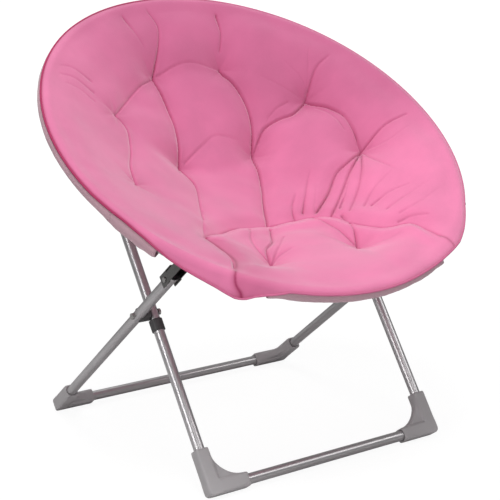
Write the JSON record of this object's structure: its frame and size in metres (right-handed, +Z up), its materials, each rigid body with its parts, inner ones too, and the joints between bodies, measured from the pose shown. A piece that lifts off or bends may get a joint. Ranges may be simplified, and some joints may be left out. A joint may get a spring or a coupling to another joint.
{
  "type": "folding saucer chair",
  "caption": "Folding saucer chair with a round pink tufted velvet cushion on a tubular steel ring and two crossing leg frames",
  "frame": {"origin": "on the floor, at the middle of the chair's bounding box", "axes": "+Z up, the seat opens towards -Y, +X to the left of a person who sits in it"},
  "size_m": [0.807, 0.6723, 0.8064],
  "materials": {
    "silver_paint": "satin silver-grey paint on round steel tube",
    "zinc_steel": "zinc-plated pressed steel and fasteners",
    "grey_plastic": "moulded grey plastic, fine matt surface",
    "black_plastic": "black moulded end caps and washers",
    "velvet": "short-pile pink velvet with sewn tufts",
    "backing_cloth": "dusty pink woven backing and tube sleeves"
  },
  "bodies": {
    "rear_legs": {"rear_leg_left": "silver_paint", "rear_leg_right": "silver_paint", "rear_bar": "silver_paint", "foot_rear_left": "grey_plastic", "foot_rear_right": "grey_plastic", "leg_bracket_left": "zinc_steel", "leg_bracket_right": "zinc_steel", "bracket_rivets": "zinc_steel", "rear_leg_caps": "black_plastic", "crossing_bolts": "zinc_steel", "crossing_spacers": "grey_plastic", "crossing_nuts": "zinc_steel", "seat_pivot_bolts": "zinc_steel", "seat_pivot_nuts": "zinc_steel"},
    "front_legs": {"front_leg_left": "silver_paint", "front_leg_right": "silver_paint", "front_bar": "silver_paint", "foot_front_left": "grey_plastic", "foot_front_right": "grey_plastic", "leg_clips": "grey_plastic", "front_leg_caps": "black_plastic"},
    "front_hoop": {"front_hoop": "silver_paint", "front_sleeve": "backing_cloth", "side_sleeves": "backing_cloth", "seat_cushion": "velvet", "seat_backing": "backing_cloth"},
    "back_hoop": {"back_hoop": "silver_paint", "back_sleeve": "backing_cloth", "back_cushion": "velvet", "back_backing": "backing_cloth", "hinge_rivets": "zinc_steel", "back_lug_bolts": "zinc_steel", "back_lug_washers": "black_plastic"}
  },
  "joints": [
    {"name": "leg_fold", "type": "hinge", "parent": "rear_legs", "child": "front_legs", "pos_m": [0, -0.02205, 0.279], "axis": [1, 0, 0], "range_deg": [0, 70]},
    {"name": "seat_lift", "type": "hinge", "parent": "rear_legs", "child": "front_hoop", "pos_m": [0, -0.19387, 0.41152], "axis": [1, 0, 0], "range_deg": [-49.5, 0]},
    {"name": "hoop_hinge", "type": "hinge", "parent": "front_hoop", "child": "back_hoop", "pos_m": [0, -0.08476, 0.51258], "axis": [1, 0, 0], "range_deg": [0, 154.8], "deforming": ["back_cushion", "back_backing", "seat_cushion", "seat_backing"]}
  ],
  "couplings": [
    {"joint": "seat_lift", "follows": "leg_fold", "ratio": -0.70697},
    {"joint": "hoop_hinge", "follows": "leg_fold", "ratio": 2.21}
  ]
}
